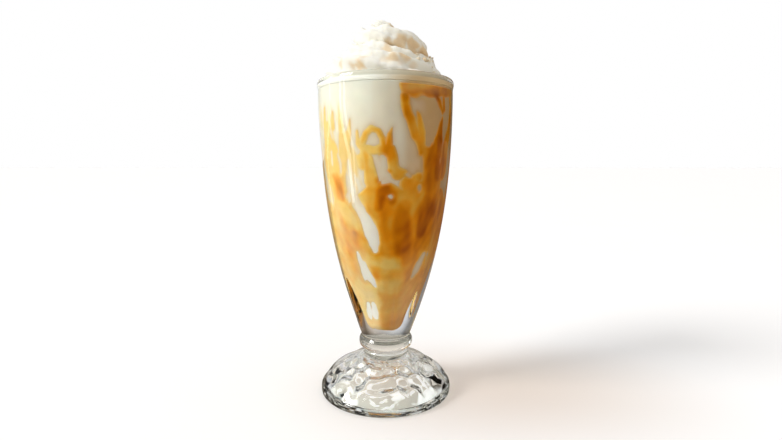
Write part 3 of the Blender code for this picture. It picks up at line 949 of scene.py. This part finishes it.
def rope_part(settings):
    """The piped rope, circles along the coil, folded a little by sums of sines.

    Their radius is size * (1 + depth * cos(flutes * angle + twist * turn)).
    """
    stations = np.array(ROPE_STATIONS)
    degrees = np.linspace(stations[0, 0], stations[-1, 0], settings.along)
    height, reach, size = (np.interp(degrees, stations[:, 0], stations[:, k]) for k in (1, 2, 3))
    soften = np.hanning(61)
    soften /= soften.sum()
    padded = [np.pad(value, 30, mode="edge") for value in (height, reach, size)]
    height, reach, size = (np.convolve(value, soften, mode="valid") for value in padded)
    turn = np.radians(degrees)
    size = size * (1 + 0.05 * np.sin(3.1 * turn + 0.6) + 0.035 * np.sin(7.3 * turn))
    step = np.arange(len(turn))
    ends = np.sqrt(fade(step, -1, 14) * fall(step, len(turn) - 40, len(turn)))
    size = size * np.maximum(ends, 0.05)
    middle = turned(reach, height, turn)
    along = np.gradient(middle, axis=0)
    along /= np.linalg.norm(along, axis=1)[:, None]
    outward = turned(np.ones_like(turn), np.zeros_like(turn), turn)
    outward -= along * np.sum(outward * along, axis=1)[:, None]
    outward /= np.linalg.norm(outward, axis=1)[:, None]
    upward = np.cross(along, outward)
    upward *= np.sign(upward[:, 2])[:, None]
    ring = round_angles(settings.around)
    flute = 1 + settings.flute_depth * np.cos(settings.flutes * ring[None] + settings.twist * turn[:, None])
    wide = size[:, None] * flute
    points = middle[:, None] + wide[..., None] * (
        np.cos(ring)[None, :, None] * outward[:, None] + np.sin(ring)[None, :, None] * upward[:, None]
    )
    x, y, z = np.moveaxis(points, -1, 0)
    push = 0.52 * waves(31, 14, 7.5, 17, x, y, z) + 0.14 * waves(32, 16, 2.5, 6, x, y, z)
    push -= 0.7 * fade(waves(36, 12, 4, 10, x, y, z * 1.6), 0.9, 2)
    away = (points - middle[:, None]) / np.maximum(wide, 0.2)[..., None]
    points = points + away * (push * np.minimum(size / 6.0, 1.0)[:, None])[..., None]
    points[..., 2] = np.maximum(points[..., 2], ROPE_FLOOR)
    # The rings run so that the faces look outwards
    if np.sum(np.cross(outward, upward) * along) < 0:
        points = points[:, ::-1]
    return grid_mesh(points, tuple(middle[0]), tuple(middle[-1]))


def bed_part(columns):
    """The cream that fills the mouth, its side at the wall, its top raised with low swirls."""
    line = cavity_line()
    turn = round_angles(columns)
    heights = np.array([BED_BOTTOM, 195.2, 195.8, 196.5, 197.1])
    wall = np.interp(heights, line[:, 1], line[:, 0]) + BED_INTO_WALL
    side = turned(wall[:, None], heights[:, None], turn[None])
    reach = np.concatenate([[39.15, 38.8, 38.2], np.linspace(37.4, 0.8, 46)])[:, None]
    x, y = reach * np.sin(turn), reach * np.cos(turn)
    crown = 197.4 + 5.6 * np.clip(1 - (reach / 39.3) ** 8, 0.0, 1.0) ** 0.7
    swirl = 0.5 * np.sin(3 * turn - reach * 0.35) + 0.35 * waves(33, 10, 5, 14, x, y)
    top = turned(reach, crown + swirl * fade(39.0 - reach, 0, 3), turn[None])
    rings = np.concatenate([side, top])
    return grid_mesh(rings, (0, 0, BED_BOTTOM), (0, 0, float(rings[-1, :, 2].mean())))


def core_part(columns):
    """The filled middle of the coil, a lathe form that leans with the tip."""
    line = spline(CORE_PROFILE, 6)
    turn = round_angles(columns)
    rings = turned(line[:, :1], line[:, 1:], turn[None])
    rings[..., 0] -= 7.6 * (np.clip((rings[..., 2] - 206.0) / 31.0, 0.0, 1.0) ** 2)
    bottom = (0, 0, CORE_PROFILE[0][1])
    return grid_mesh(rings, bottom, tuple(rings[-1].mean(axis=0) + (0, 0, 0.4)))


class MILKSHAKE_OT_cream(bpy.types.Operator):
    """Build the whipped cream: the bed in the mouth and the piped coil"""

    bl_idname = "milkshake.cream"
    bl_label = "Whipped Cream"

    def execute(self, context):
        settings = context.scene.milkshake_cream
        parts = [rope_part(settings), bed_part(BED_COLUMNS), core_part(CORE_COLUMNS)]
        material = food_material(
            "whipped_cream_soft", "cream", roughness=0.5, scatter=0.18, radius=(1.0, 0.92, 0.76),
            grain=700.0, bumpiness=0.15, wash=0.03, gloss=0.15,
        )
        piece = new_piece("whipped_cream_swirl", parts, "whipped_cream", material)
        points = np.vstack([part[0] for part in parts])
        x, y, z = points.T
        ragged = 0.9 * waves(35, 12, 3, 9, x, y, z)
        share = np.zeros(len(points))
        # Painted shade and smears: spots of the smeared-sauce colour, most of them on the cream's right
        # side, away from the key light
        for spot_x, spot_y, spot_z, size, strength in CREAM_SMEAR_AND_SHADE_SPOTS:
            away = np.linalg.norm(points - (spot_x, spot_y, spot_z), axis=1) - size + ragged
            share = np.maximum(share, strength * fall(away, -2.2, 1.4))
        # Smeared-sauce colour over the lower right side: a sauce stain and painted shade of the side turned
        # from the key light
        right = fade(bearing(x, y), -12, 30) * fall(z, 196, 203)
        share = np.maximum(share, 0.95 * right * fall(y, -4, 30))
        colours = blend_colour(settings.plain, settings.smear_and_shade, share)
        # Painted shade: a darker ring where the cream meets the rim, a contact shadow
        groove_shade = fade(np.hypot(x, y), 37.3, 38.8) * fall(z, 199, 201.5) * fade(z, 197.1, 197.4)
        paint(piece, "cream", blend_colour(colours, GROOVE_SHADE_COLOUR, 0.6 * groove_shade))
        return {"FINISHED"}


class MILKSHAKE_OT_crumbs(bpy.types.Operator):
    """Scatter peanut crumbs over the cream's lower right side"""

    bl_idname = "milkshake.crumbs"
    bl_label = "Peanut Crumbs"

    def execute(self, context):
        settings = context.scene.milkshake_cream
        rng = np.random.default_rng(41)
        cream = bpy.data.objects["whipped_cream_swirl"]
        parts = []
        tries = 0
        while len(parts) < settings.crumbs and tries < CRUMB_TRIES:
            tries += 1
            angle = math.radians(rng.normal(84.0, 26.0))
            reach = rng.uniform(27.0, 37.0)
            start = (reach * math.sin(angle) * MM, -reach * math.cos(angle) * MM, CRUMB_START)
            hit, place, normal, _ = cream.ray_cast(start, (0, 0, -1))
            if not hit or normal.z < 0.25:
                continue
            size = rng.uniform(0.6, 1.3)
            ring = round_angles(CRUMB_CORNERS)
            climb = np.radians(CRUMB_RINGS)
            scale = rng.uniform(0.75, 1.25, size=3) * size
            bump = 1 + 0.22 * rng.normal(size=(len(CRUMB_RINGS), CRUMB_CORNERS))
            ball = np.stack(
                [
                    np.cos(climb)[:, None] * np.cos(ring)[None] * bump,
                    np.cos(climb)[:, None] * np.sin(ring)[None] * bump,
                    np.sin(climb)[:, None] * bump,
                ],
                axis=-1,
            )
            centre = np.array(place) / MM + np.array(normal) * 0.15
            low = centre + (0, 0, -scale[2])
            high = centre + (0, 0, scale[2])
            parts.append(grid_mesh(ball * scale + centre, tuple(low), tuple(high)))
        material = food_material(
            "roast_peanut_crumb", "crumb", roughness=0.5, scatter=0.1, radius=(1.0, 0.6, 0.3),
            grain=1500.0, bumpiness=0.3, wash=0.2, gloss=0.15,
        )
        piece = new_piece("peanut_crumbs", parts, "", material)
        tint = np.concatenate([np.full(len(part[0]), rng.uniform(0.0, 0.5)) for part in parts])
        paint(piece, "crumb", blend_colour(*CRUMB_COLOURS, tint))
        return {"FINISHED"}


class MILKSHAKE_OT_stage(bpy.types.Operator):
    """Set up the pale floor, the soft light and the camera"""

    bl_idname = "milkshake.stage"
    bl_label = "Stage"

    def execute(self, context):
        settings = context.scene.milkshake_stage
        scene = context.scene
        mesh = bpy.data.meshes.new("floor")
        sides = ((-1, FLOOR_FRONT), (1, FLOOR_FRONT), (1, FLOOR_HALF), (-1, FLOOR_HALF))
        corners = [(side * FLOOR_HALF, y, -FLOOR_DROP) for side, y in sides]
        mesh.from_pydata(corners, [], [(0, 1, 2, 3)])
        mesh.materials.append(floor_material())
        floor = bpy.data.objects.new("floor", mesh)
        scene.collection.objects.link(floor)

        key = bpy.data.lights.new("key", "SUN")
        key.energy = settings.sun
        key.angle = settings.sun_size
        key.color = (1.0, 0.99, 0.97)
        lamp = bpy.data.objects.new("key", key)
        lamp.rotation_euler = (math.pi / 2 - settings.sun_height, 0, -math.pi / 2 + settings.sun_turn)
        scene.collection.objects.link(lamp)

        for name, turn, wide, share in WINDOW_PANES:
            pane = bpy.data.lights.new(name, "AREA")
            pane.shape = "RECTANGLE"
            pane.size = wide
            pane.size_y = PANE_LENGTH
            pane.energy = settings.window * share
            holder = bpy.data.objects.new(name, pane)
            angle = math.radians(turn)
            x, y = PANE_DISTANCE * math.sin(angle), -PANE_DISTANCE * math.cos(angle)
            holder.location = (x, y, PANE_HEIGHT)
            holder.rotation_euler = (math.pi / 2, 0, angle)
            holder.visible_diffuse = False
            scene.collection.objects.link(holder)

        self.build_world(scene)

        camera_data = bpy.data.cameras.new("camera")
        camera_data.lens = settings.lens
        camera_data.sensor_width = 36.0
        camera_data.clip_start = 0.01
        camera = bpy.data.objects.new("camera", camera_data)
        camera.location = (settings.camera_x, -settings.camera_distance, settings.camera_height)
        camera.rotation_euler = (math.pi / 2 - settings.pitch, 0, 0)
        scene.collection.objects.link(camera)
        scene.camera = camera
        scene.view_settings.view_transform = "Standard"
        scene.view_settings.look = "None"
        return {"FINISHED"}

    def build_world(self, scene):
        """Grey to the left, dim and warm to the right, bright above and straight behind.

        The camera sees plain white, and a mirroring surface sees the right and the front much darker.
        """
        n = Nodes(bpy.data.worlds.new("studio"))
        scene.world = n.owner
        n.tree.nodes.clear()
        way = n.add("ShaderNodeSeparateXYZ", {"Vector": n.place("Generated")}).outputs
        path = n.add("ShaderNodeLightPath", {})

        walls = n.blend(way["X"], -0.7, 0.7, (0.50, 0.50, 0.50), (0.36, 0.29, 0.22))
        for depth in (
            (-1.0, -0.1, (1.05, 1.03, 1.0), WHITE),
            (0.1, 0.45, WHITE, (0.45, 0.46, 0.48)),
            (0.80, 0.97, WHITE, (3.6, 3.6, 3.7)),
        ):
            walls = n.tinted(walls, n.blend(way["Y"], *depth))
        above = n.span(way["Z"], {"From Min": 0.10, "From Max": 0.70}, smooth=True)
        below = {"From Min": -0.25, "From Max": 0.0, "To Min": 1.0, "To Max": 0.0}
        room = n.mix(n.span(way["Z"], below, smooth=True), walls, (0.76, 0.71, 0.62))
        room = n.mix(above, room, (0.84, 0.83, 0.82))
        dark = n.tinted(
            n.blend(way["X"], -0.3, 0.5, WHITE, (0.15, 0.12, 0.10)),
            n.blend(way["Y"], -0.9, -0.2, (0.07, 0.065, 0.06), WHITE),
        )
        lit = n.add("ShaderNodeBackground", {"Color": n.mix(n.mirrored(path), room, dark, "MULTIPLY")})
        plain = n.add("ShaderNodeBackground", {"Color": WHITE})
        seen = n.add("ShaderNodeMixShader", {
            "Fac": path.outputs["Is Camera Ray"],
            1: lit.outputs["Background"],
            2: plain.outputs["Background"],
        })
        n.add("ShaderNodeOutputWorld", {"Surface": seen.outputs["Shader"]})


class MILKSHAKE_PT_panel(bpy.types.Panel):
    """Settings and buttons of the milkshake"""

    bl_idname = "MILKSHAKE_PT_panel"
    bl_label = "Milkshake"
    bl_space_type = "VIEW_3D"
    bl_region_type = "UI"
    bl_category = "Milkshake"

    def draw(self, context):
        scene = context.scene
        for holder, group, operators in GROUPS:
            box = self.layout.box()
            for name in group.__annotations__:
                box.prop(getattr(scene, holder), name)
            for operator in operators:
                box.operator(operator.bl_idname)


GROUPS = (
    ("milkshake_glass", GlassSettings, (MILKSHAKE_OT_glass,)),
    ("milkshake_drink", DrinkSettings, (MILKSHAKE_OT_drink,)),
    ("milkshake_cream", CreamSettings, (MILKSHAKE_OT_cream, MILKSHAKE_OT_crumbs)),
    ("milkshake_stage", StageSettings, (MILKSHAKE_OT_stage,)),
)
CLASSES = (*(item for _, group, operators in GROUPS for item in (group, *operators)), MILKSHAKE_PT_panel)


def register():
    for item in CLASSES:
        bpy.utils.register_class(item)
    for name, group, _ in GROUPS:
        setattr(bpy.types.Scene, name, bpy.props.PointerProperty(type=group))


def unregister():
    for name, _, _ in GROUPS:
        delattr(bpy.types.Scene, name)
    for item in reversed(CLASSES):
        bpy.utils.unregister_class(item)


def main():
    """Builds every piece and the stage."""
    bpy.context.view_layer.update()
    register()
    bpy.ops.milkshake.glass()
    bpy.ops.milkshake.drink()
    bpy.ops.milkshake.cream()
    bpy.ops.milkshake.crumbs()
    bpy.ops.milkshake.stage()


if __name__ == "__main__":
    main()
